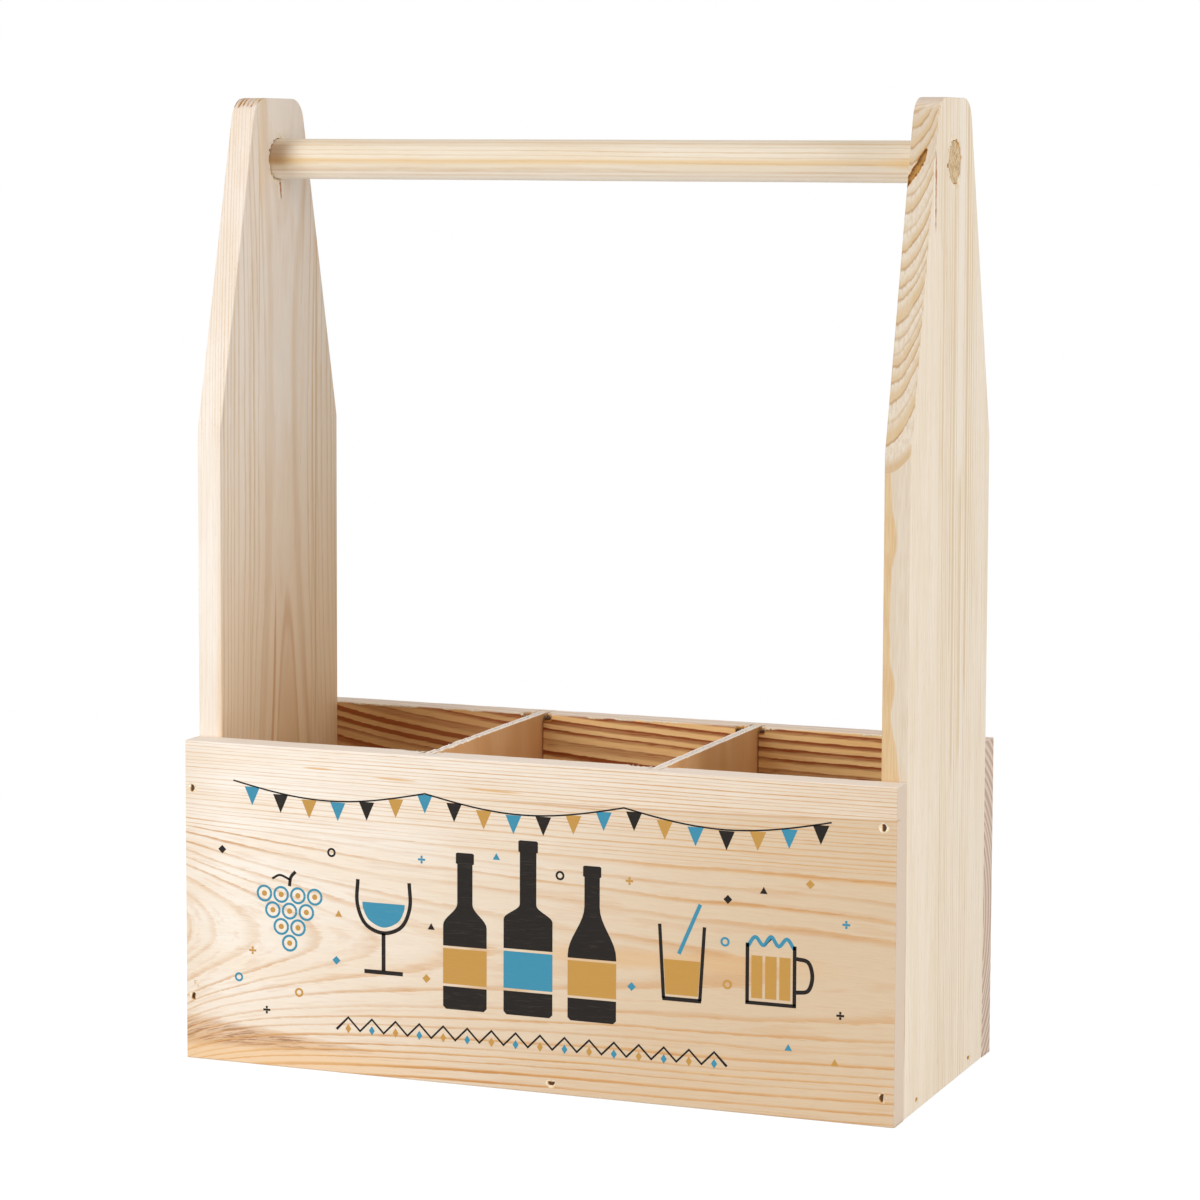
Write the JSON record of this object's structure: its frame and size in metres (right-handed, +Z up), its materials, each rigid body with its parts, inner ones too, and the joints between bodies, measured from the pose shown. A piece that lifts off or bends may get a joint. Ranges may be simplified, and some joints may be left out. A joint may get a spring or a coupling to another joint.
{
  "type": "bottle caddy",
  "caption": "Wooden bottle caddy: a long open box with loose dividers, tall tapered end boards and a round dowel handle.",
  "frame": {"origin": "middle of the underside that the caddy stands on", "axes": "+Z up, X along the handle and the long panels, the front panel faces -Y"},
  "size_m": [0.29, 0.13, 0.376],
  "materials": {
    "pine": "planed, untreated",
    "pine_light": "planed, untreated",
    "dowel": "turned, untreated",
    "plywood": "sanded, untreated",
    "brad_wire": "dull galvanised wire"
  },
  "bodies": {
    "caddy": {"front_panel": "pine", "back_panel": "pine", "left_upright": "pine_light", "right_upright": "pine_light", "bottom_board": "plywood", "handle": "dowel", "front_panel_brads": "brad_wire", "back_panel_brads": "brad_wire", "left_upright_brads": "brad_wire", "right_upright_brads": "brad_wire"},
    "left_divider": {"left_divider": "plywood"},
    "right_divider": {"right_divider": "plywood"}
  },
  "joints": [
    {"name": "left_divider_lift", "type": "slide", "parent": "caddy", "child": "left_divider", "axis": [0, 0, 1], "range_m": [0, 0.119]},
    {"name": "right_divider_lift", "type": "slide", "parent": "caddy", "child": "right_divider", "axis": [0, 0, 1], "range_m": [0, 0.119]}
  ]
}
